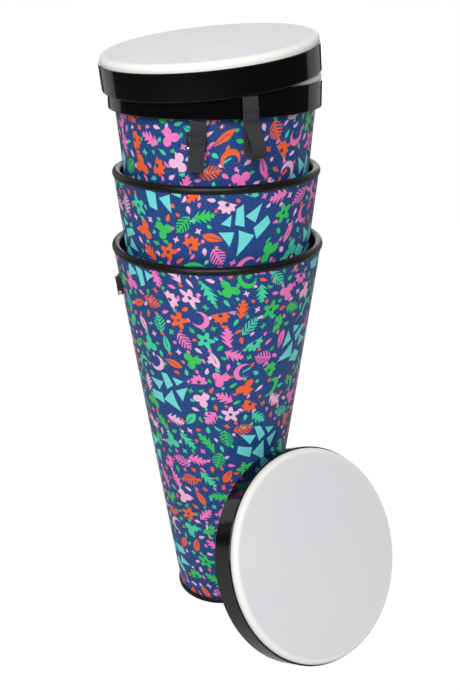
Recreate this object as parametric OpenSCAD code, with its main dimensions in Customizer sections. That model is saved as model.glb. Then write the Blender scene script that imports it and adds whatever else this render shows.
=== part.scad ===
/* [Large drum] */
// Height of the large drum from the floor to the top of its rim
large_h = 621; // [560:1:680]
// Radius of the large rim, at the middle of its round edge
large_rim_r = 152.4; // [146:0.2:158]
// Outer radius of the large foot ring
large_foot_r = 76.4; // [70:0.2:84]
// Direction of the photographed hook, from the front towards the right
large_hook_az = -79; // [-100:1:-40]
// Direction of the other hook
large_hook2_az = 112; // [90:1:140]
// Drop from the middle of the rim to the hook bars
large_hook_drop = 65; // [55:1:90]

/* [Medium drum] */
// Height of the medium drum
medium_h = 530; // [480:1:560]
// Radius of the medium rim, at the middle of its round edge
medium_rim_r = 146.1; // [143:0.2:149]
// Height of the medium rim above the large rim, when nested
medium_rise = 109.8; // [90:0.2:130]
// Direction of each hook to the left and right of the front
medium_hook_az = 112; // [100:1:130]
// Drop from the middle of the rim to the hook bars
medium_hook_drop = 68; // [60:1:75]

/* [Small drum] */
// Height of the small drum
small_h = 470; // [430:1:500]
// Radius of the small rim, at the middle of its round edge
small_rim_r = 142.2; // [140.2:0.2:143.4]
// Height of the small rim above the medium rim, when nested
small_rise = 132.2; // [120:0.2:150]
// Direction of the front hook; the other one is opposite
small_hook_az = -10; // [-40:1:40]
// Drop from the middle of the rim to the hook bars
small_hook_drop = 77; // [68:1:88]

/* [Shells] */
// Thickness of the shell wall
wall_t = 4.4; // [3:0.1:5]
// Thickness of the printed cloth wrap
wrap_t = 0.5; // [0.3:0.1:1]
// Radius of the round edge along each rim
bead_r = 6.1; // [5:0.1:7]
// How far the round edge stands out past the wrap
bead_lip = 1.8; // [1:0.1:2.5]
// Height of each foot ring
foot_h = 9; // [6:0.5:14]
// How far the large foot ring stands out past the line of the wrap
large_foot_lip = 3.6; // [2:0.1:4.5]
// How far the two inner foot rings stand out past the line of the wrap
inner_foot_lip = 2.2; // [1.6:0.1:3]

/* [Heads] */
// Height of each outer ring
ring_h = 36.3; // [32:0.1:42]
// Wall thickness of each outer ring
ring_t = 2.6; // [2:0.1:3]
// Gap between the small head's ring and the small rim
small_ring_gap = 1.5; // [1:0.1:2]
// Gap between the medium head's ring and the medium rim
medium_ring_gap = 0.7; // [0.7:0.1:1.2]
// Gap between the large head's ring and the large rim
large_ring_gap = 3.5; // [1:0.1:4.5]
// Rise of the film above the top edge of its ring
collar_h = 10.5; // [9:0.1:12]
// Radius of the rounded shoulder of the collar
collar_r = 7.5; // [6:0.1:8.5]
// Thickness of the film
film_t = 0.5; // [0.3:0.05:0.8]
// Depth of the film's skirt that is bonded inside the ring
skirt_h = 10; // [6:0.5:14]

/* [Straps] */
// Width of the webbing
strap_w = 20; // [16:0.5:24]
// Thickness of the webbing
strap_t = 1.4; // [1:0.1:1.5]
// Length of the lower head's straps, from the fold line to the end
lower_strap_len = 66; // [60:1:76]
// Length of the upper head's straps
upper_strap_len = 77; // [60:1:84]
// Length of the leaning head's straps
leaning_strap_len = 70; // [60:1:84]
// Length of webbing riveted into each pocket of a ring
tab_len = 19; // [16:1:22]
// Opening of the loose loop on the front strap of the upper head
loose_loop = 12; // [7:0.5:15]
// Twist of that loop about its own length, in degrees
loop_twist = 22; // [0:1:30]

/* [Upper head] */
// Slope of the upper head, its right side up, in degrees
upper_slope_x = 5.0; // [4:0.1:6]
// Slope of the upper head, its back up, in degrees
upper_slope_y = 5.1; // [4:0.1:6]
// Shift of the upper head to the right
upper_x = -4.3; // [-5:0.1:-3.5]
// Shift of the upper head to the back
upper_y = -4.5; // [-5:0.1:-3.5]
// Height of the middle of the upper ring's lower edge over the lower ring
upper_z = 2.8; // [2.8:0.1:8]
// Direction of the front strap on the upper head
upper_strap_az = 17.8; // [10:0.1:25]
// Direction of the front strap on the lower head
lower_strap_az = -8.4; // [-20:0.1:20]
// Sideways lean of the lower head's front strap
lower_strap_lean = 4.8; // [0:0.1:6]

/* [Leaning head] */
// Direction in which the leaning head faces, from the front to the right
lean_az = 40.8; // [20:0.1:70]
// How far the leaning head leans back from upright, in degrees
lean_back = 26.5; // [20:0.1:32]

/* [Hooks] */
// Width of a hook bracket
hook_w = 26; // [24:0.5:32]
// How far a bracket stands out from the wrap
hook_out = 6.8; // [6.6:0.1:7.6]
// Radius of the hook bar
bar_r = 2.5; // [2:0.1:2.6]
// Radius of a bracket screw
screw_r = 1.8; // [1.4:0.1:2]
// Distance between the two screws of a bracket
screw_gap = 14; // [12:0.5:15]

/* [Hidden] */
$fn = 96;
seam = 0.05; // clearance between pieces that are fixed to each other
slack = 0.3; // clearance between pieces that can come apart
lead = 1; // overrun of every cutting shape
plate_t = 1.2; // thickness of the backing plates
edge_r = 1; // rounding of the ring edges
foot_round = 2.2; // rounding of the foot rings
groove = 7; // depth of the wall in the round edge and the foot ring
screw_z = 12; // height of the screws over the hook bar
plate_w = 24; // width of a backing plate
front_bulge = 2; // how far the twisted strap bends out, clear of the ring below it
front_lean = -3.5; // turn of that strap's fold, outwards
rear_bulge = 3; // how far the rear strap bends out to pass the ring below it
rear_lean = 3; // turn of the rear strap's fold, inwards
foot_in = 1.5; // how far a foot ring reaches inside the shell
plate_top = 21; // top of a bracket over its bar
block_top = 17.5; // top of the block of a bracket, which carries the screws
block_low = 4.5; // bottom of that block
block_r = 2; // rounding of that block
bar_sink = 0.1; // depth of the bar behind the front of its bracket
arm_w = 4; // width of the bracket's arm, which holds the bar
arm_out = 0.8; // how far the arm stands out in front of the bracket
head_r = 3.2; // radius of a screw head
head_t = 2; // height of a screw head
nut_r = 4; // corner radius of a nut
nut_t = 3; // height of a nut
screw_end = 1; // overrun of a screw past its nut
rivet_r = 1.4; // radius of a rivet shank
rivet_gap = 11; // distance between the two rivets of a strap
rivet_up = 13; // height of the rivets over the ring's lower edge
rivet_sink = 0.7; // depth of the rivets in the ring wall
rivet_head = 0.4; // height of a rivet head
hinge_drop = 1.3; // drop of the fold line below the ring
neck_len = 12; // length of the single layer of a strap under its fold line
neck_lap = 3; // overlap of that layer and the stitched part
stitch_end = 33; // distance from the fold line to the start of the loop
fold_gap = strap_t + 0.4; // distance between the two layers of a flat loop
hoop_t = 1.5; // thickness of the retaining hoop
hoop_h = 2.6; // height of the retaining hoop

// Each list holds the large, the medium and the small drum
rim_r = [large_rim_r, medium_rim_r, small_rim_r];
height = [large_h, medium_h, small_h];
large_rim_z = large_h - bead_r;
rim_z = [large_rim_z, large_rim_z + medium_rise, large_rim_z + medium_rise + small_rise];
base_z = [for (d = [0:2]) rim_z[d] + bead_r - height[d]];
top_r = [for (r = rim_r) r + bead_r - bead_lip];
hook_az = [
    [large_hook_az, large_hook2_az],
    [-medium_hook_az, medium_hook_az],
    [small_hook_az, small_hook_az + 180]
];
hook_z = [
    large_rim_z - large_hook_drop,
    rim_z[1] - medium_hook_drop,
    rim_z[2] - small_hook_drop
];

// A nested drum stands with its foot ring against the wall outside it
foot_lip = [large_foot_lip, inner_foot_lip, inner_foot_lip];
large_wall_foot = large_foot_r - large_foot_lip;
medium_foot_r = line_at(base_z[1] + foot_round, 0, large_wall_foot, rim_z[0], top_r[0])
    - wrap_t - wall_t - slack;
medium_wall_foot = medium_foot_r - inner_foot_lip;
small_foot_r = line_at(base_z[2] + foot_round, base_z[1], medium_wall_foot, rim_z[1], top_r[1])
    - wrap_t - wall_t - slack;
foot_r = [large_foot_r, medium_foot_r, small_foot_r];
wall_foot = [for (d = [0:2]) foot_r[d] - foot_lip[d]];
taper = [for (d = [0:2]) atan((top_r[d] - wall_foot[d]) / (rim_z[d] - base_z[d]))];

// The heads: lower (small drum), upper (medium drum) and leaning (large drum)
ring_in = [
    small_rim_r + bead_r + small_ring_gap,
    medium_rim_r + bead_r + medium_ring_gap,
    large_rim_r + bead_r + large_ring_gap
];
ring_out = [for (r = ring_in) r + ring_t];
fold_r = [for (r = ring_in) r + seam + strap_t / 2];
lower_z = rim_z[2] + bead_r + film_t + seam - collar_h - ring_h;

// The leaning head stands on the floor, and its top strap lies against the large drum
lean_fold_z = (ring_out[2] + fold_r[2]) * cos(lean_back) - hinge_drop * sin(lean_back);
lean_reach = wall_r(0, lean_fold_z) + slack + strap_t / 2
    + fold_r[2] * sin(lean_back) + hinge_drop * cos(lean_back);

// Radius on a straight wall between two heights
function line_at(z, z0, r0, z1, r1) = r0 + (r1 - r0) * (z - z0) / (z1 - z0);

// Outer radius of a drum, over its wrap
function wall_r(d, z) = line_at(z, base_z[d], wall_foot[d], rim_z[d], top_r[d]);

// Points along an arc
function arc(x, y, r, a0, a1, steps) =
    [for (i = [0:steps]) [x + r * cos(a0 + (a1 - a0) * i / steps), y + r * sin(a0 + (a1 - a0) * i / steps)]];

// Drop of a flat backing plate below the curved inside of a shell
function flat_drop(d) =
    let (r = wall_r(d, hook_z[d]) - wrap_t - wall_t)
        r - sqrt(r * r - plate_w * plate_w / 4);

// Depth of a backing plate's outer face below the wrap's surface
function plate_in(d) = wrap_t + wall_t + flat_drop(d) + seam;

// A cone-shaped layer between two offsets inwards from the wrap's surface
module layer(d, z0, z1, outer, inner)
    rotate_extrude()
        polygon([
            [wall_r(d, z0) - inner, z0], [wall_r(d, z0) - outer, z0],
            [wall_r(d, z1) - outer, z1], [wall_r(d, z1) - inner, z1]
        ]);

// A solid cone inside an offset inwards from the wrap's surface
module cone_in(d, offset_in)
    rotate_extrude()
        polygon([
            [0, base_z[d]], [wall_r(d, base_z[d]) - offset_in, base_z[d]],
            [wall_r(d, rim_z[d]) - offset_in, rim_z[d]], [0, rim_z[d]]
        ]);

// Places a piece on the wall at each hook: outwards is -Y, and Z runs up the wall
module at_hooks(d)
    for (az = hook_az[d])
        rotate([0, 0, az])
            translate([0, -wall_r(d, hook_z[d]), hook_z[d]])
                rotate([taper[d], 0, 0])
                    children();

// Places a piece on the axis of each bracket screw
module at_screws(d)
    at_hooks(d)
        for (side = [-1, 1])
            translate([side * screw_gap / 2, 0, screw_z])
                rotate([90, 0, 0])
                    children();

module screw_holes(d)
    at_screws(d)
        translate([0, 0, -wall_t - wrap_t - lead - 2])
            cylinder(r = screw_r + seam, h = wall_t + wrap_t + 2 * lead + 4);

module shell(d)
    color("dimgray")
        difference() {
            layer(d, base_z[d] + foot_h - groove, rim_z[d] + 1, wrap_t + seam, wrap_t + wall_t);
            screw_holes(d);
        }

module print_wrap(d)
    color("royalblue")
        difference() {
            layer(d, base_z[d] + foot_h + seam, rim_z[d] - bead_r * 0.75, 0, wrap_t);
            screw_holes(d);
        }

module rim_edge(d)
    color([0.09, 0.09, 0.1])
        difference() {
            rotate_extrude()
                translate([rim_r[d], rim_z[d]])
                    circle(r = bead_r);
            layer(d, rim_z[d] - bead_r - lead, rim_z[d] + 1 + seam, wrap_t, wrap_t + wall_t + seam);
            layer(d, rim_z[d] - bead_r - lead, rim_z[d] - bead_r * 0.75 + seam, -seam, wrap_t + lead);
        }

module foot_ring(d)
    color([0.08, 0.08, 0.09])
        difference() {
            rotate_extrude()
                polygon(concat(
                    [[wall_foot[d] - wrap_t - wall_t - foot_in, base_z[d]]],
                    arc(foot_r[d] - foot_round, base_z[d] + foot_round, foot_round, -90, 0, 5),
                    arc(foot_r[d] - foot_round, base_z[d] + foot_h - foot_round, foot_round, 0, 60, 4),
                    [[wall_r(d, base_z[d] + foot_h), base_z[d] + foot_h]],
                    [[wall_foot[d] - wrap_t - wall_t - foot_in, base_z[d] + foot_h]]
                ));
            layer(d, base_z[d] + foot_h - groove - seam, base_z[d] + foot_h + lead,
                wrap_t, wrap_t + wall_t + seam);
        }

// Cast bracket: its block carries the screws, and its arm carries the bar
module hook_brackets(d)
    color([0.1, 0.1, 0.1])
        difference() {
            at_hooks(d) {
                rotate([90, 0, 90])
                    translate([0, 0, -hook_w / 2])
                        linear_extrude(hook_w)
                            polygon(concat(
                                [[3, plate_top], [-1.5, plate_top]],
                                [[-2.4, plate_top - 1], [-2.8, block_top + 0.5]],
                                arc(block_r - hook_out, block_top - block_r, block_r, 90, 180, 4),
                                arc(block_r - hook_out, block_low + block_r, block_r, 180, 270, 4),
                                [[3, block_low]]
                            ));
                translate([hook_w / 2 - arm_w, -hook_out - arm_out, -bar_r - 1])
                    cube([arm_w, hook_out + 3, bar_r + 8]);
            }
            cone_in(d, -seam);
            at_screws(d)
                translate([0, 0, -lead - 3])
                    cylinder(r = screw_r + seam, h = hook_out + 2 * lead + 3);
            at_screws(d)
                translate([0, 0, hook_out - head_t])
                    cylinder(r = head_r + 0.2, h = head_t + lead);
            at_hooks(d)
                translate([hook_w / 2 - arm_w - lead, bar_r - hook_out + bar_sink, 0])
                    rotate([0, 90, 0])
                        cylinder(r = bar_r + seam, h = arm_w + 2 * lead);
        }

// Chrome bar with a small rounded stop at its free end
module hook_bars(d)
    color("silver")
        at_hooks(d)
            translate([-hook_w / 2, bar_r - hook_out + bar_sink, 0])
                rotate([0, 90, 0]) {
                    cylinder(r = bar_r, h = hook_w);
                    rotate_extrude()
                        polygon(concat([[0, 0]], arc(bar_r - 0.2, 1, 1, -90, 90, 6), [[0, 2]]));
                }

module hook_screws(d)
    color([0.2, 0.2, 0.2])
        at_screws(d) {
            shank = plate_in(d) + plate_t + nut_t + screw_end;
            translate([0, 0, -shank])
                cylinder(r = screw_r, h = shank + hook_out - head_t / 2);
            translate([0, 0, hook_out - head_t + seam])
                cylinder(r = head_r, h = head_t - 0.2);
        }

module backing_plates(d)
    color([0.55, 0.56, 0.58])
        difference() {
            at_hooks(d)
                translate([-plate_w / 2, plate_in(d), screw_z - 6])
                    cube([plate_w, plate_t, 12]);
            at_screws(d)
                translate([0, 0, -plate_in(d) - plate_t - lead])
                    cylinder(r = screw_r + seam, h = plate_t + 2 * lead);
        }

module hook_nuts(d)
    color([0.62, 0.62, 0.64])
        at_screws(d)
            translate([0, 0, -plate_in(d) - plate_t - nut_t - seam])
                difference() {
                    cylinder(r = nut_r, h = nut_t, $fn = 6);
                    translate([0, 0, -lead])
                        cylinder(r = screw_r + seam, h = nut_t + 2 * lead);
                }

// Puts a head, drawn round its own axis with its lower edge at zero, in its place
module place_head(h) {
    if (h == 0)
        translate([0, 0, lower_z])
            children();
    if (h == 1)
        translate([upper_x, upper_y, lower_z + ring_h + upper_z])
            rotate([0, -upper_slope_x, 0])
                rotate([upper_slope_y, 0, 0])
                    children();
    if (h == 2)
        rotate([0, 0, lean_az])
            translate([0, -lean_reach, ring_out[2] * cos(lean_back)])
                rotate([90 - lean_back, 0, 0])
                    children();
}

// Directions of the two straps of each head
strap_az = [
    [lower_strap_az, lower_strap_az + 180],
    [upper_strap_az, upper_strap_az + 180],
    [180, 0]
];
strap_len = [lower_strap_len, upper_strap_len, leaning_strap_len];

// Places a piece at the middle of the webbing in each pocket of a ring
module at_straps(h)
    for (az = strap_az[h])
        rotate([0, 0, az])
            translate([0, -fold_r[h], 0])
                children();

// Places a piece on the axis of each rivet, with Z outwards from the webbing's middle
module at_rivets(h)
    at_straps(h)
        for (side = [-1, 1])
            translate([side * rivet_gap / 2, 0, rivet_up])
                rotate([90, 0, 0])
                    children();

// Outer ring with a groove for the hoop and a pocket for each strap
module head_ring(h)
    color([0.05, 0.05, 0.055])
        place_head(h)
            difference() {
                rotate_extrude()
                    polygon(concat(
                        [[ring_in[h], 0.3], [ring_in[h] + 0.3, 0]],
                        arc(ring_out[h] - edge_r, edge_r, edge_r, -90, 0, 4),
                        arc(ring_out[h] - edge_r, ring_h - edge_r, edge_r, 0, 90, 4),
                        [
                            [ring_in[h] + 0.2, ring_h],
                            [ring_in[h], ring_h - 0.2],
                            [ring_in[h], ring_h - skirt_h],
                            [ring_in[h] + hoop_t - film_t, ring_h - skirt_h],
                            [ring_in[h] + hoop_t - film_t, ring_h - skirt_h - hoop_h - 2 * seam],
                            [ring_in[h], ring_h - skirt_h - hoop_h - 2 * seam]
                        ]
                    ));
                at_straps(h)
                    translate([-strap_w / 2 - seam, -strap_t / 2 - seam, -lead])
                        cube([strap_w + 2 * seam, strap_t + 2 * lead, tab_len + seam + lead]);
                at_rivets(h)
                    cylinder(r = rivet_r + seam, h = strap_t / 2 + rivet_sink + seam);
            }

// Film with its rounded collar; its skirt is bonded to the ring
module head_film(h)
    color([0.93, 0.93, 0.92])
        place_head(h)
            rotate_extrude()
                polygon(concat(
                    [[ring_in[h] - seam - film_t, ring_h - skirt_h], [ring_in[h] - seam, ring_h - skirt_h]],
                    arc(ring_in[h] - seam - collar_r, ring_h + collar_h - collar_r, collar_r, 0, 90, 10),
                    [[0, ring_h + collar_h], [0, ring_h + collar_h - film_t]],
                    arc(ring_in[h] - seam - collar_r, ring_h + collar_h - collar_r,
                        collar_r - film_t, 90, 0, 10)
                ));

// Hoop that holds the foot of the film's skirt, set in the ring's groove
module head_hoop(h)
    color([0.6, 0.61, 0.63])
        place_head(h)
            rotate_extrude()
                translate([ring_in[h] - film_t, ring_h - skirt_h - hoop_h - seam])
                    square([hoop_t - seam, hoop_h]);

module head_strap_tabs(h)
    color([0.2, 0.2, 0.21])
        place_head(h)
            difference() {
                at_straps(h)
                    translate([-strap_w / 2, -strap_t / 2, strap_t / 2 + slack - hinge_drop])
                        cube([strap_w, strap_t, tab_len + hinge_drop - strap_t / 2 - slack]);
                at_rivets(h)
                    translate([0, 0, -strap_t / 2 - lead])
                        cylinder(r = rivet_r + seam, h = strap_t + 2 * lead);
            }

module head_rivets(h)
    color([0.66, 0.66, 0.68])
        place_head(h)
            at_rivets(h) {
                translate([0, 0, -strap_t / 2 - seam - rivet_head / 2])
                    cylinder(r = rivet_r, h = strap_t + rivet_sink + seam + rivet_head / 2);
                translate([0, 0, -strap_t / 2 - seam - rivet_head])
                    cylinder(r1 = rivet_r + 0.6, r2 = rivet_r + 1.1, h = rivet_head);
            }

// Points along a smooth curve with given ends and handles
function curve(a, b, c, d, steps) = [
    for (i = [0:steps])
        let (u = i / steps, w = 1 - u)
            w * w * w * a + 3 * w * w * u * b + 3 * w * u * u * c + u * u * u * d
];

// Moves each point of a list sideways
function shifted(points, x) = [for (p = points) [p[0] + x, p[1]]];

// Points of a list from the last to the first
function backwards(points) = [for (i = [len(points) - 1:-1:0]) points[i]];

// Side views of a strap: X outwards, Y up, with the fold line at zero.
// The neck is a single layer that can bend outwards to pass what is below.
module neck_side(bulge) {
    path = curve([0, 0], [0, -3.5], [bulge, -4.5], [bulge, -9], 8);
    polygon(concat(
        arc(0, 0, strap_t / 2, 180, 0, 8),
        shifted(path, strap_t / 2),
        [[bulge + strap_t / 2, -neck_len], [bulge - strap_t / 2, -neck_len]],
        backwards(shifted(path, -strap_t / 2))
    ));
}

// Below the neck the webbing runs down, turns round and comes up again.
// The second layer lies on the outer side, or on the inner side when side is -1.
module loop_side(bulge, opening, length, side) {
    gap = max(opening, fold_gap);
    turn_y = gap / 2 + strap_t / 2 - length;
    spread = curve([fold_gap, -stitch_end], [fold_gap, -stitch_end - 12],
        [gap, -length * 0.62], [gap, turn_y], 10);
    translate([bulge, 0])
        mirror([side < 0 ? 1 : 0, 0])
            difference() {
                polygon(concat(
                    [
                        [-strap_t / 2, neck_lap - neck_len],
                        [strap_t / 2, neck_lap - neck_len],
                        [strap_t / 2, -neck_len - 2],
                        [fold_gap + strap_t / 2, -neck_len - 2]
                    ],
                    shifted(spread, strap_t / 2),
                    arc(gap / 2, turn_y, (gap + strap_t) / 2, -10, -170, 12),
                    [[-strap_t / 2, turn_y]]
                ));
                polygon(concat(
                    [[strap_t / 2, -stitch_end]],
                    shifted(spread, -strap_t / 2),
                    arc(gap / 2, turn_y, (gap - strap_t) / 2, -20, -160, 8),
                    [[strap_t / 2, turn_y]]
                ));
            }
}

module strap_body()
    rotate([90, 0, -90])
        translate([0, 0, -strap_w / 2])
            linear_extrude(strap_w)
                children();

// A strap below its fold line: swung inwards, leaned sideways and twisted
module strap(h, i, bulge = 0, opening = 0, inwards = 0, sideways = 0, twist = 0, side = 1)
    color([0.2, 0.2, 0.21])
        place_head(h)
            rotate([0, 0, strap_az[h][i]])
                translate([0, -fold_r[h], -hinge_drop])
                    rotate([inwards, 0, 0]) {
                        strap_body()
                            neck_side(bulge);
                        translate([0, -bulge, 0])
                            rotate([0, sideways, twist])
                                translate([0, bulge, 0])
                                    strap_body()
                                        loop_side(bulge, opening, strap_len[h], side);
                    }

shell(0);  // large_shell
print_wrap(0);  // large_print_wrap
rim_edge(0);  // large_rim_edge
foot_ring(0);  // large_foot_ring
hook_brackets(0);  // large_hook_brackets
hook_bars(0);  // large_hook_bars
hook_screws(0);  // large_hook_screws
backing_plates(0);  // large_backing_plates
hook_nuts(0);  // large_hook_nuts
shell(1);  // medium_shell
print_wrap(1);  // medium_print_wrap
rim_edge(1);  // medium_rim_edge
foot_ring(1);  // medium_foot_ring
hook_brackets(1);  // medium_hook_brackets
hook_bars(1);  // medium_hook_bars
hook_screws(1);  // medium_hook_screws
backing_plates(1);  // medium_backing_plates
hook_nuts(1);  // medium_hook_nuts
shell(2);  // small_shell
print_wrap(2);  // small_print_wrap
rim_edge(2);  // small_rim_edge
foot_ring(2);  // small_foot_ring
hook_brackets(2);  // small_hook_brackets
hook_bars(2);  // small_hook_bars
hook_screws(2);  // small_hook_screws
backing_plates(2);  // small_backing_plates
hook_nuts(2);  // small_hook_nuts
head_ring(0);  // lower_head_ring
head_film(0);  // lower_head_film
head_hoop(0);  // lower_head_hoop
head_strap_tabs(0);  // lower_head_strap_tabs
head_rivets(0);  // lower_head_rivets
strap(0, 0, sideways = lower_strap_lean);  // lower_head_front_strap
strap(0, 1);  // lower_head_rear_strap
head_ring(1);  // upper_head_ring
head_film(1);  // upper_head_film
head_hoop(1);  // upper_head_hoop
head_strap_tabs(1);  // upper_head_strap_tabs
head_rivets(1);  // upper_head_rivets
strap(1, 0, front_bulge, loose_loop, front_lean, twist = loop_twist);  // upper_head_front_strap
strap(1, 1, rear_bulge, inwards = rear_lean);  // upper_head_rear_strap
head_ring(2);  // leaning_head_ring
head_film(2);  // leaning_head_film
head_hoop(2);  // leaning_head_hoop
head_strap_tabs(2);  // leaning_head_strap_tabs
head_rivets(2);  // leaning_head_rivets
strap(2, 0, inwards = 90 - lean_back, side = -1);  // leaning_head_top_strap
strap(2, 1, inwards = lean_back, side = -1);  // leaning_head_bottom_strap
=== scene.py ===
"""Nesting set of three tapered drums: looks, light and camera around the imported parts."""
import math

import bpy
from mathutils import Matrix, Vector


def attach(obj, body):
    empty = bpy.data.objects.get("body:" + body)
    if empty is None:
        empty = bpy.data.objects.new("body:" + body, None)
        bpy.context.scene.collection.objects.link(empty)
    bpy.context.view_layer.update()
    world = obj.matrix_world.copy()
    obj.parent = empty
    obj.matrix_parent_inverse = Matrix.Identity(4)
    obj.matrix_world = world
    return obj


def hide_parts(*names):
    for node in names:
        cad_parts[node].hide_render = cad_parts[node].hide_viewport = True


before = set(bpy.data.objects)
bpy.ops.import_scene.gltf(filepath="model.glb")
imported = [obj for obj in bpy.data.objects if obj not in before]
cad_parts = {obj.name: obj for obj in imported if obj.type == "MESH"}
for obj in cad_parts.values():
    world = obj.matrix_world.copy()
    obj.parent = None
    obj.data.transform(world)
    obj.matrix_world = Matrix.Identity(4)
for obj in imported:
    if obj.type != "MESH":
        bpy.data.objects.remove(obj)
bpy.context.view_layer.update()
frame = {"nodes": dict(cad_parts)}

MM = 0.001
TURN = 2 * math.pi

# The drums, in the order large, medium, small; sizes are those of the CAD, in metres
DRUMS = ("large", "medium", "small")
RIM_Z = (0.6149, 0.7247, 0.8569)
BASE_Z = (0.0, 0.2008, 0.393)
TOP_R = (0.1567, 0.1504, 0.1465)
BASE_R = (0.0728, 0.093098, 0.106961)

# The heads, in the order lower, upper, leaning
HEADS = ("lower", "upper", "leaning")
RING_IN = (0.1498, 0.1529, 0.162)
RING_T = 0.0026
LOWER_Z = 0.81675
UPPER_AT = (-0.0043, -0.0045, 0.85585)
UPPER_SLOPES = (5.0, 5.1)
LEAN_AZ = 40.8
LEAN_BACK = 26.5
LEAN_REACH = 0.187475


def turned_by(angle, axis):
    return Matrix.Rotation(math.radians(angle), 4, axis)


HEAD_PLACE = (
    Matrix.Translation((0, 0, LOWER_Z)),
    Matrix.Translation(UPPER_AT) @ turned_by(-UPPER_SLOPES[0], "Y") @ turned_by(UPPER_SLOPES[1], "X"),
    turned_by(LEAN_AZ, "Z")
    @ Matrix.Translation((0, -LEAN_REACH, (RING_IN[2] + RING_T) * math.cos(math.radians(LEAN_BACK))))
    @ turned_by(90 - LEAN_BACK, "X"),
)


class Wire:
    """A socket of a node tree, so that shader maths reads as plain expressions."""

    def __init__(self, nodes, socket):
        self.nodes = nodes
        self.socket = socket

    def _maths(self, operation, *others):
        return self.nodes.add("ShaderNodeMath", {"operation": operation}, dict(enumerate((self,) + others)))

    def __add__(self, other):
        return self._maths("ADD", other)

    __radd__ = __add__

    def __mul__(self, other):
        return self._maths("MULTIPLY", other)

    __rmul__ = __mul__

    def __sub__(self, other):
        return self._maths("SUBTRACT", other)

    def __rsub__(self, other):
        return self.nodes.add("ShaderNodeMath", {"operation": "SUBTRACT"}, {0: other, 1: self})

    def __truediv__(self, other):
        return self._maths("DIVIDE", other)

    def __gt__(self, other):
        return self._maths("GREATER_THAN", other)

    def __lt__(self, other):
        return self._maths("LESS_THAN", other)

    def __abs__(self):
        return self._maths("ABSOLUTE")

    def __pow__(self, other):
        return self._maths("POWER", other)

    def sin(self):
        return self._maths("SINE")

    def cos(self):
        return self._maths("COSINE")

    def bearing(self, other):
        return self._maths("ARCTAN2", other)

    def floor(self):
        return self._maths("FLOOR")

    def fract(self):
        return self._maths("FRACT")

    def low(self, other):
        return self._maths("MINIMUM", other)

    def high(self, other):
        return self._maths("MAXIMUM", other)


class Nodes:
    """A node tree, and the one method that adds its nodes."""

    def __init__(self, tree):
        self.tree = tree

    def set_socket(self, target, value):
        if isinstance(value, Wire):
            self.tree.links.new(value.socket, target)
        elif isinstance(value, tuple) and len(value) == 3 and target.type == "RGBA":
            target.default_value = (*value, 1.0)
        else:
            target.default_value = value

    def add(self, kind, settings=None, inputs=None, out=0):
        """Adds a node with its settings first and its sockets next, and gives back one output."""
        node = self.tree.nodes.new(kind)
        for key, value in (settings or {}).items():
            if key == "stops":
                ramp = node.color_ramp
                while len(ramp.elements) > 1:
                    ramp.elements.remove(ramp.elements[-1])
                for i, (place, colour) in enumerate(value):
                    stop = ramp.elements[0] if i == 0 else ramp.elements.new(place)
                    stop.position = place
                    stop.color = (*colour, 1.0)
            elif key == "blend":
                node.color_ramp.interpolation = value
            else:
                setattr(node, key, value)
        for key, value in (inputs or {}).items():
            self.set_socket(node.inputs[key], value)
        return Wire(self, node.outputs[out])

    def several(self, kind, outs, inputs=None):
        """Adds one node and gives back several of its outputs."""
        node = self.add(kind, inputs=inputs).socket.node
        return tuple(Wire(self, node.outputs[out]) for out in outs)

    def place(self):
        return self.add("ShaderNodeTexCoord", out="Object")

    def parts(self, vector):
        return self.several("ShaderNodeSeparateXYZ", (0, 1, 2), {0: vector})

    def vector(self, x, y, z=0.0):
        return self.add("ShaderNodeCombineXYZ", inputs={0: x, 1: y, 2: z})

    def dot(self, first, second):
        return self.add(
            "ShaderNodeVectorMath", {"operation": "DOT_PRODUCT"}, {0: first, 1: second}, out="Value")

    def noise(self, vector, scale, detail=2.0):
        return self.add("ShaderNodeTexNoise", inputs={"Vector": vector, "Scale": scale, "Detail": detail})

    def mix(self, share, first, second):
        return self.add(
            "ShaderNodeMix", {"data_type": "RGBA"}, {0: share, 6: first, 7: second}, out=2)

    def remap(self, value, low, high, to_low=0.0, to_high=1.0, smooth=False):
        return self.add(
            "ShaderNodeMapRange", {"interpolation_type": "SMOOTHSTEP" if smooth else "LINEAR"},
            {0: value, 1: low, 2: high, 3: to_low, 4: to_high})


class Finish(Nodes):
    """A material and its shader."""

    def __init__(self, name, colour, roughness, **fixed):
        self.material = bpy.data.materials.new(name)
        self.material.use_nodes = True
        super().__init__(self.material.node_tree)
        self.shader = self.tree.nodes["Principled BSDF"]
        self.feed("Base Color", colour)
        self.feed("Roughness", roughness)
        for socket, value in fixed.items():
            self.feed(socket.replace("_", " "), value)

    def feed(self, socket, value):
        self.set_socket(self.shader.inputs[socket], value)

    def bump(self, height, distance, strength):
        self.feed("Normal", self.add("ShaderNodeBump", inputs={
            "Height": height, "Distance": distance, "Strength": strength}))

    def paint(self, *objects):
        for obj in objects:
            obj.data.materials.clear()
            obj.data.materials.append(self.material)


def srgb(red, green, blue):
    """A colour read off a screen, 0 to 255, as the shader takes it."""
    return tuple(
        c / 12.92 if c <= 0.04045 else ((c + 0.055) / 1.055) ** 2.4
        for c in (red / 255, green / 255, blue / 255))


def deselect():
    if bpy.context.object and bpy.context.object.mode != "OBJECT":
        bpy.ops.object.mode_set(mode="OBJECT")
    bpy.ops.object.select_all(action="DESELECT")


def pick(*pieces):
    """Selects the pieces and nothing else; the first is the active one."""
    deselect()
    for piece in pieces:
        piece.select_set(True)
    bpy.context.view_layer.objects.active = pieces[0]


def settle(obj, name):
    """Names a piece and puts its place into its mesh."""
    pick(obj)
    obj.name = name
    obj.data.name = name
    bpy.ops.object.transform_apply(location=True, rotation=True, scale=True)
    return obj


def joined(pieces, name):
    """Makes one piece of several."""
    pick(*pieces)
    bpy.ops.object.join()
    return settle(pieces[0], name)


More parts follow.
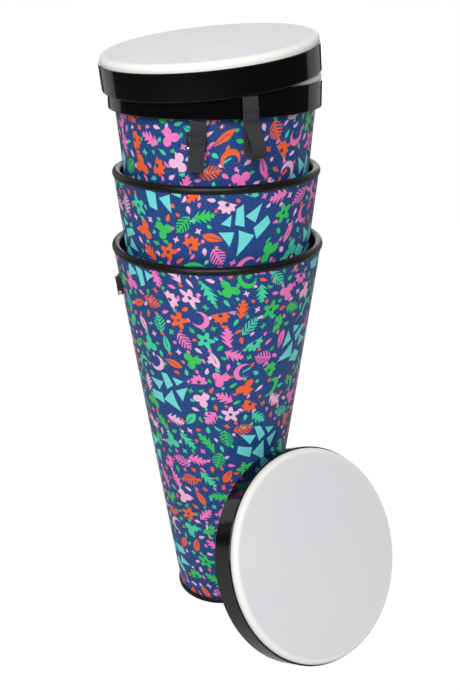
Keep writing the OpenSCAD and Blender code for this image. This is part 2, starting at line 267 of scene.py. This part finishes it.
def one_point(x, y, z):
    """A new mesh in edit mode, of a single selected point."""
    deselect()
    bpy.ops.mesh.primitive_plane_add(size=0.01)
    bpy.ops.object.mode_set(mode="EDIT")
    bpy.ops.mesh.merge(type="CENTER")
    bpy.ops.transform.translate(value=(x, y, z))
    return bpy.context.object


def draw(points):
    """Extrudes the selected point along a line of points, from the first to the last."""
    for a, b in zip(points, points[1:]):
        bpy.ops.mesh.extrude_region_move(TRANSFORM_OT_translate={"value": tuple(Vector(b) - Vector(a))})


def arc(x, y, radius, start, end, steps):
    angles = [math.radians(start + (end - start) * i / steps) for i in range(steps + 1)]
    return [(x + radius * math.cos(a), y + radius * math.sin(a)) for a in angles]


def curve(a, b, c, d, steps):
    """A smooth line from a to d that leaves towards b and arrives from c."""
    points = []
    for i in range(steps + 1):
        t, w = i / steps, 1 - i / steps
        pulls = (w ** 3, 3 * w * w * t, 3 * w * t * t, t ** 3)
        points.append(tuple(sum(pull * p[n] for pull, p in zip(pulls, (a, b, c, d))) for n in (0, 1)))
    return points


# Camera at the photograph's viewing angle; angles in degrees
FRAME_H = 690
FOCAL_PX = 900
SENSOR = 36
FAR_CLIP = 300
EYE = Vector((0, -1.3199, 0.9917))
PITCH, YAW, ROLL = (math.radians(a) for a in (22.541, 0.759, -0.550))


def make_camera():
    ahead = Vector((math.sin(YAW) * math.cos(PITCH), math.cos(YAW) * math.cos(PITCH), -math.sin(PITCH)))
    level = Vector((math.cos(YAW), -math.sin(YAW), 0))
    above = level.cross(ahead)
    right = level * math.cos(ROLL) + above * math.sin(ROLL)
    up = above * math.cos(ROLL) - level * math.sin(ROLL)
    data = bpy.data.cameras.new("camera")
    data.sensor_fit = "VERTICAL"
    data.sensor_height = SENSOR
    data.lens = SENSOR * FOCAL_PX / FRAME_H
    data.clip_end = FAR_CLIP
    camera = bpy.data.objects.new("camera", data)
    bpy.context.scene.collection.objects.link(camera)
    axes = Matrix((right, up, -ahead)).transposed().to_4x4()
    camera.matrix_world = Matrix.Translation(EYE) @ axes
    bpy.context.scene.camera = camera


# Soft lamps: name, place, what it points at, width, height and watts
LAMPS = (
    ("key_above", (-0.4, -2.4, 2.3), (0, 0, 0.5), 2.0, 1.4, 73),
    ("fill_behind", (0.3, 2.7, 1.0), (0, 0, 0.5), 1.8, 1.6, 24),
    ("panel_left", (-1.9, 1.7, 1.1), (0, 0, 0.6), 1.5, 2.4, 6),
    ("panel_right", (1.9, 1.5, 1.1), (0, 0, 0.6), 1.5, 2.4, 6),
)

# Strength of the white world: as light on matt and in glossy surfaces, and as the background
WORLD_LIGHT, WORLD_IN_GLOSS, WORLD_SEEN = 0.34, 0.2, 1.0

# The floor: paper from the middle, which fades into the room's darker floor
FLOOR_SIZE = 120
FLOOR_DROP = 0.0006
PAPER, ROOM = (0.6, 0.6, 0.6), (0.15, 0.15, 0.15)
PAPER_R, ROOM_R = 1.6, 2.8
FLOOR_GLOW, GLOW_SHARE = 1.05, 0.95


def soft_light(name, place, aim, width, height, power):
    data = bpy.data.lights.new(name, "AREA")
    data.shape = "RECTANGLE"
    data.size = width
    data.size_y = height
    data.energy = power
    lamp = bpy.data.objects.new(name, data)
    bpy.context.scene.collection.objects.link(lamp)
    lamp.location = place
    lamp.visible_camera = False
    lamp.rotation_euler = (Vector(aim) - Vector(place)).to_track_quat("-Z", "Y").to_euler()


def make_world():
    """White where the camera sees it, and softer as light on the drums."""
    world = bpy.data.worlds.new("studio")
    world.use_nodes = True
    bpy.context.scene.world = world
    sky = Nodes(world.node_tree)
    seen, through, mirrored = sky.several(
        "ShaderNodeLightPath", ("Is Camera Ray", "Is Transmission Ray", "Is Glossy Ray"))
    light = sky.remap(mirrored, 0, 1, WORLD_LIGHT, WORLD_IN_GLOSS)
    background = world.node_tree.nodes["Background"]
    sky.set_socket(background.inputs["Strength"], sky.remap(seen.high(through), 0, 1, light, WORLD_SEEN))
    sky.set_socket(background.inputs["Color"], (1, 1, 1))


def lay_floor():
    """White paper under the drums; the room's floor beyond it keeps the upright rings black."""
    deselect()
    bpy.ops.mesh.primitive_plane_add(size=FLOOR_SIZE, location=(0, 0, -FLOOR_DROP))
    floor = settle(bpy.context.object, "floor")
    surface = Finish("studio floor", PAPER, 0.9, Specular_IOR_Level=0.0)
    x, y, _ = surface.parts(surface.place())
    beyond = surface.remap((x * x + y * y) ** 0.5, PAPER_R, ROOM_R, smooth=True)
    surface.feed("Base Color", surface.mix(beyond, PAPER, ROOM))
    seen = surface.add("ShaderNodeLightPath", out="Is Camera Ray")
    glow = surface.add("ShaderNodeEmission", inputs={"Strength": FLOOR_GLOW})
    matt = Wire(surface, surface.shader.outputs[0])
    blend = surface.add("ShaderNodeMixShader", inputs={0: seen * GLOW_SHARE, 1: matt, 2: glow})
    surface.set_socket(surface.tree.nodes["Material Output"].inputs["Surface"], blend)
    surface.paint(floor)


# Colours of the print
NAVY = srgb(25, 66, 131)
DEEP_NAVY = srgb(16, 44, 98)
LIGHT_NAVY = srgb(58, 104, 172)
PINK = srgb(255, 128, 200)
PALE_PINK = srgb(255, 196, 230)
ORANGE = srgb(255, 104, 46)
GREEN = srgb(58, 206, 96)
MINT = srgb(74, 218, 168)
AQUA = srgb(118, 232, 230)

# Grids of the print: the width of a square in millimetres, its turn and its seed
MAIN_SIZE, MAIN_TURN, MAIN_SEED = 33.0, 0.4, 3.1
WIDE_SIZE, WIDE_TURN, WIDE_SEED = 150.0, -0.5, 9.4
FILLER_SEED, BEAN_SEED = 5.5, 8.5
SECOND_DRAW = 7.7  # added to a seed for three more random numbers
NO_SHARDS = 0.25  # share of the wide squares without shards
SHARD_REACH = 0.27  # other motifs keep this share of a wide square away from the middle of the shards
INK_EDGE = 0.35  # half the width of an edge's soft line, in millimetres
SHIFTS = ((12, 30), (410, 905), (87, 260))  # of the pattern on each drum, in millimetres

# The shards' corners, in shares of a wide square
SHARDS = (
    ((-0.25, 0.02), (-0.06, -0.09), (0.0, 0.07)),
    ((-0.1, -0.12), (0.02, -0.24), (0.1, -0.2), (0.01, -0.07)),
    ((0.06, -0.08), (0.23, -0.13), (0.13, 0.02)),
    ((0.03, 0.02), (0.24, 0.05), (0.2, 0.11), (0.05, 0.11)),
    ((-0.16, 0.12), (-0.02, 0.11), (-0.03, 0.25)),
    ((0.03, 0.15), (0.14, 0.15), (0.05, 0.24)),
)


def turned(u, v, angle):
    """A place in the pattern after a turn."""
    across, along = angle.cos(), angle.sin()
    return u * across + v * along, v * across - u * along


class PrintedCloth(Finish):
    """Cloth with generic leaves, blossoms and shards, laid flat round the cone from a seam at the back."""

    def __init__(self, name, apex_z, slope, shift):
        super().__init__(name, NAVY, 0.5, Specular_IOR_Level=0.36)
        x, y, z = self.parts(self.place())
        reach = (z - apex_z) / math.cos(slope)
        spread = x.bearing(0 - y) * math.sin(slope)
        self.flat_x = reach * spread.sin() * (1 / MM) + shift[0]
        self.flat_y = reach * spread.cos() * (1 / MM) + shift[1]
        # A slow sway keeps the rows from showing
        self.sway_x = self.flat_x + (self.flat_y / 47).sin() * 9 + (self.flat_y / 19 + 1.3).sin() * 3
        self.sway_y = self.flat_y + (self.flat_x / 53 + 0.7).sin() * 9 + (self.flat_x / 23).sin() * 3

        a, b, main_ink, main_tint = self.main_motifs()
        filler_ink, filler_tint = self.fillers(a + 0.5, b + 0.5)
        bean_ink, bean_tint = self.beans(a + 0.5, b + 0.5)
        thread = self.threads()
        colour = self.add("ShaderNodeValToRGB", {"stops": (
            (0.36, DEEP_NAVY), (0.5, NAVY), (0.64, LIGHT_NAVY))}, {0: thread})
        colour = self.mix(bean_ink * (1 - main_ink), colour, bean_tint)
        colour = self.mix(filler_ink * (1 - main_ink), colour, filler_tint)
        colour = self.mix(main_ink, colour, main_tint)
        colour = self.mix(self.shards(), colour, AQUA)
        shade = self.remap(thread, 0.3, 0.7, 0.9, 1.06)
        self.feed("Base Color", self.add(
            "ShaderNodeVectorMath", {"operation": "SCALE"}, {0: colour, "Scale": shade}))
        self.feed("Roughness", self.remap(thread, 0.35, 0.65, 0.4, 0.58))
        self.bump(thread, 0.3 * MM, 0.5)

    def chances(self, column, row, seed):
        """Three random numbers for a square."""
        noise = self.add("ShaderNodeTexWhiteNoise", {"noise_dimensions": "3D"},
                         {"Vector": self.vector(column, row, seed)}, out="Color")
        return self.several("ShaderNodeSeparateColor", (0, 1, 2), {0: noise})

    def choice(self, chance, *stops):
        """One of several colours: each stop is where its share starts, and the colour."""
        return self.add("ShaderNodeValToRGB", {"blend": "CONSTANT", "stops": stops}, {0: chance})

    def grid(self, size, turn, x=None, y=None):
        """A place in squares of a turned grid."""
        x, y = (self.sway_x, self.sway_y) if x is None else (x, y)
        c, s = math.cos(turn) / size, math.sin(turn) / size
        return x * c + y * s, y * c - x * s

    def square(self, a, b, seed):
        """A place inside its square, turned and shifted by chance, and the square's six random numbers."""
        column, row = a.floor(), b.floor()
        chance = self.chances(column, row, seed) + self.chances(column, row, seed + SECOND_DRAW)
        u = (a - column - 0.5) - (chance[0] - 0.5) * 0.1
        v = (b - row - 0.5) - (chance[1] - 0.5) * 0.1
        return (column, row, *turned(u, v, chance[2] * TURN), chance)

    def ink(self, distance, size):
        """One inside a form and zero outside it, with a soft line between them."""
        return self.remap(distance, INK_EDGE / size, -INK_EDGE / size)

    def clear_of_shards(self, column, row):
        """One where the motif at this place of the main grid stands clear of the shards, or else zero."""
        c, s = math.cos(MAIN_TURN) * MAIN_SIZE, math.sin(MAIN_TURN) * MAIN_SIZE
        a, b = self.grid(WIDE_SIZE, WIDE_TURN, column * c - row * s, row * c + column * s)
        _, _, u, v, chance = self.square(a, b, WIDE_SEED)
        gap = (u * u + v * v) ** 0.5
        return 1 - (gap < SHARD_REACH) * (chance[5] > NO_SHARDS)

    def main_motifs(self):
        """Fronds, leaves, blossoms, crescents, trefoils, sprigs and fans; sizes in shares of a square."""
        a, b = self.grid(MAIN_SIZE, MAIN_TURN)
        column, row, u, v, chance = self.square(a, b, MAIN_SEED)
        side = abs(u)
        radius = (u * u + v * v) ** 0.5
        bearing = v.bearing(u)
        body = 1 - (v / 0.47) * (v / 0.47)
        rib = ((v - side * 0.9) * 27).sin()
        frond = side - body * (rib * 0.1 + 0.2)
        leaf = (side - body * 0.17 * (1 - v * 0.8)).high((0.018 - side).low(v + 0.2))
        blossom = (radius - ((bearing * 5).cos() * 0.11 + 0.32)).high(0.08 - radius)
        offset = ((u - 0.15) * (u - 0.15) + v * v) ** 0.5
        crescent = (radius - 0.4).high(0.31 - offset)
        stem = (side - 0.035).high(abs(v + 0.2) - 0.24)
        trefoil = (radius - (abs((bearing * 1.5).cos()) * 0.28 + 0.15)).low(stem)
        arms = (abs(((v - side * 0.8) * 6).fract() - 0.5) - 0.27) / 6
        sprig = arms.high(side - body * 0.3).low((side - 0.03).high(abs(v) - 0.44))
        fan = (radius - ((bearing * 9).cos() * 0.05 + 0.36)).high(-0.1 - v).high(0.09 - radius)
        form = frond
        for start, other in ((0.26, leaf), (0.38, blossom), (0.5, crescent),
                             (0.6, trefoil), (0.74, sprig), (0.88, fan)):
            form = form + (other - form) * (chance[3] > start)
        tint = self.choice(chance[4], (0.0, PINK), (0.2, GREEN), (0.38, ORANGE),
                           (0.62, PALE_PINK), (0.76, MINT), (0.9, PINK))
        ink = self.ink(form, MAIN_SIZE) * self.clear_of_shards(column + 0.5, row + 0.5)
        return a, b, ink, tint

    def shards(self):
        """Angular pieces on the wide grid, mirrored by chance."""
        a, b = self.grid(WIDE_SIZE, WIDE_TURN)
        _, _, u, v, chance = self.square(a, b, WIDE_SEED)
        point = self.vector(u * ((chance[3] > 0.5) * 2 - 1), v, 1.0)
        pieces = None
        for corners in SHARDS:
            piece = None
            for (ax, ay), (bx, by) in zip(corners, corners[1:] + corners[:1]):
                length = math.hypot(by - ay, ax - bx)
                nx, ny = (by - ay) / length, (ax - bx) / length
                side = self.dot(point, (nx, ny, -(nx * ax + ny * ay)))
                piece = side if piece is None else piece.high(side)
            pieces = piece if pieces is None else pieces.low(piece)
        return self.ink(pieces, WIDE_SIZE) * (chance[5] > NO_SHARDS)

    def fillers(self, x, y):
        """Small drops and stars at the corners between the main motifs."""
        column, row = x.floor(), y.floor()
        chance = self.chances(column, row, FILLER_SEED)
        u, v = turned(x - column - 0.5, y - row - 0.5, chance[0] * TURN)
        drop = abs(u) - (1 - (v / 0.19) * (v / 0.19)) * (0.085 - v * 0.2)
        star = (u * u + v * v) ** 0.5 - 0.1 - (v.bearing(u) * 4).cos() * 0.04
        form = drop + (star - drop) * (chance[1] > 0.6)
        tint = self.choice(
            chance[2], (0.0, PALE_PINK), (0.3, MINT), (0.5, ORANGE), (0.68, PINK), (0.84, GREEN))
        return self.ink(form, MAIN_SIZE) * self.clear_of_shards(column, row), tint

    def beans(self, x, y):
        """Beans at the middle of each side, between two main motifs."""
        a, b = x + y, x - y
        column, row = a.floor(), b.floor()
        chance = self.chances(column, row, BEAN_SEED)
        u, v = turned((a - column - 0.5) * 0.5, (b - row - 0.5) * 0.5, chance[0] * TURN)
        bend = u + 0.02 - v * v * 3
        form = (bend * bend + v * v * (0.2 + chance[1] * 0.5)) ** 0.5 - 0.05
        clear = self.clear_of_shards((column + row + 1) * 0.5 - 0.5, (column - row) * 0.5 - 0.5)
        tint = self.choice(
            chance[2], (0.0, PINK), (0.25, GREEN), (0.45, PALE_PINK), (0.65, ORANGE), (0.85, MINT))
        return self.ink(form, MAIN_SIZE) * clear, tint

    def threads(self):
        """Heathered ground: short pale threads both ways."""
        warp = self.noise(self.vector(self.flat_x * 1.6, self.flat_y * 0.35, 0), 1.0, 3.0)
        weft = self.noise(self.vector(self.flat_x * 0.35, self.flat_y * 1.6, 4.0), 1.0, 3.0)
        return (warp + weft) * 0.5


# The collar of a film, where a brighter white is painted as a highlight, in metres inwards from the inside
# of its ring
COLLAR_FROM, COLLAR_TO = 0.0095, 0.0065


def coated_film(index):
    """White film: cool and faintly cloudy where it is played; its rounded collar is painted a brighter,
    warmer white, a painted highlight for the light that the collar catches.
    """
    film = Finish("coated white film " + HEADS[index], srgb(232, 232, 232), 0.5, Specular_IOR_Level=0.4)
    centre = HEAD_PLACE[index].to_translation()
    axis = HEAD_PLACE[index].to_3x3().col[2]
    away = film.add("ShaderNodeVectorMath", {"operation": "SUBTRACT"}, {0: film.place(), 1: tuple(centre)})
    height = film.dot(away, tuple(axis))
    radius = (film.dot(away, away) - height * height) ** 0.5
    collar = film.remap(radius, RING_IN[index] - COLLAR_FROM, RING_IN[index] - COLLAR_TO, smooth=True)
    spot = film.noise(film.place(), 700, 4.0)
    cloud = film.noise(film.place(), 7, 3.0)
    played = film.mix(film.remap(cloud, 0.3, 0.7), srgb(229, 230, 233), srgb(232, 233, 235))
    # Painted highlight: the collar is painted a brighter, warmer white than the played film
    film.feed("Base Color", film.mix(collar, played, srgb(245, 244, 240)))
    film.feed("Roughness", film.remap(spot, 0.3, 0.7, 0.42, 0.62))
    film.bump(spot, 0.08 * MM, 0.5)
    return film


def grained(name, colour, scale, detail, smoothest, roughest, start=0.3, depth=0.0, strength=0.0, **fixed):
    """One colour, with a grain in its roughness and, where a depth in millimetres is given, its relief."""
    finish = Finish(name, colour, smoothest, **fixed)
    grain = finish.noise(finish.place(), scale, detail)
    finish.feed("Roughness", finish.remap(grain, start, 0.7, smoothest, roughest))
    if depth:
        finish.bump(grain, depth * MM, strength)
    return finish


def fibre_shell():
    fibre = Finish("pressed fibre shell", srgb(52, 48, 46), 0.8)
    x, y, z = fibre.parts(fibre.place())
    streak = fibre.noise(fibre.vector(x * 220, y * 220, z * 40), 1.0, 4.0)
    fibre.feed("Base Color", fibre.mix(
        fibre.remap(streak, 0.35, 0.65), srgb(36, 33, 32), srgb(70, 65, 61)))
    fibre.bump(streak, 0.4 * MM, 0.6)
    return fibre


def charcoal_webbing():
    """Ribbed weave along and across the strap, from its own coordinates in millimetres."""
    webbing = Finish("charcoal webbing", srgb(46, 46, 49), 0.8, Specular_IOR_Level=0.25, Sheen_Weight=0.08)
    u, v, _ = webbing.parts(webbing.add("ShaderNodeUVMap", {"uv_map": "weave"}))
    row = (v * 1.15).floor()
    rib = abs((u * 0.85 + abs(v.fract() - 0.5) * 0.6).fract() - 0.5) * 2
    lift = abs((v * 1.15 + row * 0.5).fract() - 0.5) * 2
    weave = rib * 0.6 + lift * 0.4
    fuzz = webbing.noise(webbing.vector(u * 2.2, v * 2.2, 0), 1.0, 3.0)
    webbing.feed("Base Color", webbing.mix(
        webbing.remap(weave * 0.7 + fuzz * 0.6, 0.25, 1.0), srgb(28, 28, 31), srgb(68, 68, 73)))
    webbing.bump(weave, 0.4 * MM, 0.8)
    return webbing


def dark_thread():
    thread = Finish("dark sewing thread", srgb(20, 20, 21), 0.7, Specular_IOR_Level=0.2)
    ply = thread.noise(thread.place(), 2600, 2.0)
    thread.feed("Base Color", thread.mix(ply, srgb(12, 12, 13), srgb(30, 30, 32)))
    return thread


def make_finishes():
    """The finishes other than the print and the film."""
    return {
        "edging": grained("satin black edging", srgb(12, 12, 13), 900, 3.0, 0.32, 0.5,
                          depth=0.12, strength=0.5, Specular_IOR_Level=0.32),
        "shell": fibre_shell(),
        "ring": grained("gloss black ring", srgb(6, 6, 7), 60, 3.0, 0.06, 0.13, Specular_IOR_Level=0.42),
        "cast": grained("black painted casting", srgb(22, 22, 23), 420, 4.0, 0.35, 0.6,
                        depth=0.2, strength=0.6),
        "chrome": grained("chrome bar", srgb(210, 212, 216), 300, 3.0, 0.05, 0.16, start=0.4, Metallic=1.0),
        "steel": grained("zinc plated steel", srgb(150, 152, 155), 250, 3.0, 0.25, 0.45, Metallic=1.0),
        "hoop": grained("mill aluminium hoop", srgb(170, 171, 174), 120, 3.0, 0.3, 0.5, Metallic=1.0),
        "webbing": charcoal_webbing(),
        "thread": dark_thread(),
    }


# The straps, in millimetres as in the CAD: side views run outwards and upwards from the fold line
STRAP_W, STRAP_T = 20.0, 1.4
SPREAD_W = 1.0  # a strap is a little wider below its pocket
FOLD_GAP = STRAP_T + 0.4
HINGE_DROP = 1.3
NECK_LEN = 12.0
BEND_LEN = 9.0  # a bulging strap stands away from its fold line over this length
STITCH_END = 33.0
TAB_LEN = 19.0
ACROSS = 8  # faces across the webbing
EDGE_R = 0.45
TWIST_FROM, TWIST_OVER = 12, 42  # how far down a strap starts to twist, and over what length it does
LEAN_AT_FOLD = 0.65  # share of the sideways lean at the fold line
FOLD_R = tuple(r / MM + 0.05 + STRAP_T / 2 for r in RING_IN)
STRAPS = (
    {"name": "lower_front", "body": "lower_front_strap", "node": "lower_head_front_strap",
     "head": 0, "az": -8.4, "length": 66, "sideways": 4.8},
    {"name": "lower_rear", "body": "lower_rear_strap", "node": "lower_head_rear_strap",
     "head": 0, "az": 171.6, "length": 66},
    {"name": "upper_front", "body": "upper_front_strap", "node": "upper_head_front_strap",
     "head": 1, "az": 17.8, "length": 77, "opening": 21, "bulge": 2,
     "inwards": -3.5, "twist": 13, "sideways": 7},
    {"name": "upper_rear", "body": "upper_rear_strap", "node": "upper_head_rear_strap",
     "head": 1, "az": 197.8, "length": 77, "bulge": 3, "inwards": 3},
    {"name": "leaning_top", "body": "leaning_top_strap", "node": "leaning_head_top_strap",
     "head": 2, "az": 180, "length": 70, "inwards": 90 - LEAN_BACK, "side": -1},
    {"name": "leaning_bottom", "body": "leaning_bottom_strap", "node": "leaning_head_bottom_strap",
     "head": 2, "az": 0, "length": 70, "inwards": LEAN_BACK, "side": -1},
)

# Stitches: half sizes along, through and across the thread, in millimetres
STITCH = (1.25, 0.3, 0.45)
STITCH_ROWS = (-NECK_LEN - 4.5, -NECK_LEN - 7, -STITCH_END + 4, -STITCH_END + 1.5)
STITCH_SIDE = 8.2


def strap_path(strap):
    """Middle line of a strap: down from the fold line, round the end and up again."""
    bulge, side = strap.get("bulge", 0), strap.get("side", 1)
    gap = max(strap.get("opening", 0), FOLD_GAP)
    turn_y = gap / 2 + STRAP_T / 2 - strap["length"]
    down = curve((0, 0), (0, -3.5), (bulge, -4.5), (bulge, -BEND_LEN), 8)
    down += [(bulge, -BEND_LEN + (turn_y + BEND_LEN) * i / 16) for i in range(1, 17)]
    turn = [(bulge + side * x, y) for x, y in arc(gap / 2, turn_y, gap / 2, 180, 360, 14)][1:]
    spread = curve((gap, turn_y), (gap, turn_y + 12), (FOLD_GAP, -STITCH_END - 5),
                   (FOLD_GAP, -STITCH_END), 12)[1:]
    up = [(bulge + side * x, y) for x, y in spread]
    last = -NECK_LEN - 2
    up += [(bulge + side * FOLD_GAP, -STITCH_END + (last + STITCH_END) * i / 8) for i in range(1, 9)]
    return down + turn + up


def strap_place(strap):
    return (HEAD_PLACE[strap["head"]] @ turned_by(strap["az"], "Z")
            @ Matrix.Translation((0, -FOLD_R[strap["head"]] * MM, -HINGE_DROP * MM))
            @ turned_by(strap.get("inwards", 0), "X"))


def turn_of_strap(strap, height):
    """Twist and lean at a height under the fold line: least at the fold, all of it towards the end."""
    share = min(max((-height - TWIST_FROM) / TWIST_OVER, 0), 1)
    centre = Matrix.Translation((0, -strap.get("bulge", 0) * MM, 0))
    lean = turned_by(strap.get("sideways", 0) * (LEAN_AT_FOLD + (1 - LEAN_AT_FOLD) * share), "Y")
    return centre @ turned_by(strap.get("twist", 0) * share, "Z") @ lean @ centre.inverted()


def sheet_of(path, width):
    """A ribbon along a side view, with its weave coordinates in millimetres across and along."""
    obj = one_point(-width / 2 * MM, -path[0][0] * MM, path[0][1] * MM)
    draw([(-width / 2 * MM, -x * MM, y * MM) for x, y in path])
    bpy.ops.mesh.select_all(action="SELECT")
    for _ in range(ACROSS):
        bpy.ops.mesh.extrude_region_move(TRANSFORM_OT_translate={"value": (width * MM / ACROSS, 0, 0)})
    bpy.ops.mesh.select_all(action="SELECT")
    bpy.ops.mesh.normals_make_consistent(inside=False)
    bpy.ops.object.mode_set(mode="OBJECT")
    along = [0.0]
    for a, b in zip(path, path[1:]):
        along.append(along[-1] + math.hypot(b[0] - a[0], b[1] - a[1]))
    weave = obj.data.uv_layers.new(name="weave")
    for loop in obj.data.loops:
        co = obj.data.vertices[loop.vertex_index].co / MM
        nearest = min(
            range(len(path)), key=lambda i: (path[i][0] + co.y) ** 2 + (path[i][1] - co.z) ** 2)
        weave.data[loop.index].uv = (co.x, along[nearest])
    return obj


def thicken(obj):
    pick(obj)
    solid = obj.modifiers.new("thickness", "SOLIDIFY")
    solid.thickness = STRAP_T * MM
    solid.offset = 0
    solid.use_even_offset = True
    rounding = obj.modifiers.new("rounding", "BEVEL")
    rounding.width = EDGE_R * MM
    rounding.segments = 3
    rounding.limit_method = "ANGLE"
    rounding.angle_limit = math.radians(50)
    for modifier in ("thickness", "rounding"):
        bpy.ops.object.modifier_apply(modifier=modifier)
    bpy.ops.object.shade_smooth_by_angle(angle=math.radians(50))


def make_strap(strap):
    webbing = sheet_of(strap_path(strap), STRAP_W + SPREAD_W)
    for vertex in webbing.data.vertices:
        vertex.co = turn_of_strap(strap, vertex.co.z / MM) @ vertex.co
    thicken(webbing)
    webbing.matrix_world = strap_place(strap)
    settle(webbing, strap["name"] + "_webbing")
    FINISH["webbing"].paint(webbing)
    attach(webbing, strap["body"])
    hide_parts(strap["node"])
    make_stitches(strap)


def make_stitches(strap):
    """Two pairs of rows across and one row down each side, on both faces of the doubled webbing."""
    side, bulge = strap.get("side", 1), strap.get("bulge", 0)
    faces = (bulge + side * (FOLD_GAP + STRAP_T / 2), bulge - side * STRAP_T / 2)
    spots = [(x, y, 0) for y in STITCH_ROWS for x in range(-8, 9, 3)]
    spots += [(x, y, 90) for x in (-STITCH_SIDE, STITCH_SIDE) for y in range(-18, -30, -3)]
    deselect()
    bpy.ops.mesh.primitive_uv_sphere_add(segments=8, ring_count=6, radius=1, location=(0, 0, 0))
    first = bpy.context.object
    made = []
    for face in faces:
        for x, y, turn in spots:
            stitch = first
            if made:
                stitch = first.copy()
                stitch.data = first.data.copy()
                bpy.context.scene.collection.objects.link(stitch)
            made.append(stitch)
            stitch.matrix_world = (strap_place(strap) @ turn_of_strap(strap, y)
                                   @ Matrix.Translation((x * MM, -face * MM, y * MM))
                                   @ turned_by(turn, "Y")
                                   @ Matrix.Diagonal((*(half * MM for half in STITCH), 1)))
    joined(made, strap["name"] + "_stitches")
    bpy.ops.object.shade_smooth()
    FINISH["thread"].paint(first)
    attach(first, strap["body"])


def make_tabs(index):
    """The ends of the webbing in the pockets of a ring."""
    made = []
    low = STRAP_T / 2 + 0.3 - HINGE_DROP
    path = [(0, low + (TAB_LEN - low) * i / 6) for i in range(7)]
    for strap in STRAPS:
        if strap["head"] == index:
            tab = sheet_of(path, STRAP_W)
            thicken(tab)
            tab.matrix_world = (HEAD_PLACE[index] @ turned_by(strap["az"], "Z")
                                @ Matrix.Translation((0, -FOLD_R[index] * MM, 0)))
            made.append(settle(tab, HEADS[index] + "_tab"))
    tabs = joined(made, HEADS[index] + "_pocket_webbing")
    FINISH["webbing"].paint(tabs)
    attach(tabs, HEADS[index] + "_head")
    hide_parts(HEADS[index] + "_head_strap_tabs")


bpy.context.scene.view_settings.view_transform = "Standard"
make_camera()
make_world()
for lamp in LAMPS:
    soft_light(*lamp)
lay_floor()
FINISH = make_finishes()

nodes = frame["nodes"]
for index, drum in enumerate(DRUMS):
    slope = math.atan((TOP_R[index] - BASE_R[index]) / (RIM_Z[index] - BASE_Z[index]))
    apex = BASE_Z[index] - BASE_R[index] / math.tan(slope)
    PrintedCloth("printed cloth " + drum, apex, slope, SHIFTS[index]).paint(nodes[drum + "_print_wrap"])
    FINISH["shell"].paint(nodes[drum + "_shell"])
    FINISH["edging"].paint(nodes[drum + "_rim_edge"], nodes[drum + "_foot_ring"])
    FINISH["cast"].paint(nodes[drum + "_hook_brackets"])
    FINISH["chrome"].paint(nodes[drum + "_hook_bars"])
    FINISH["steel"].paint(*(nodes[drum + n] for n in ("_hook_screws", "_backing_plates", "_hook_nuts")))
for index, head in enumerate(HEADS):
    FINISH["ring"].paint(nodes[head + "_head_ring"])
    coated_film(index).paint(nodes[head + "_head_film"])
    FINISH["hoop"].paint(nodes[head + "_head_hoop"])
    FINISH["steel"].paint(nodes[head + "_head_rivets"])
    make_tabs(index)
for strap in STRAPS:
    make_strap(strap)
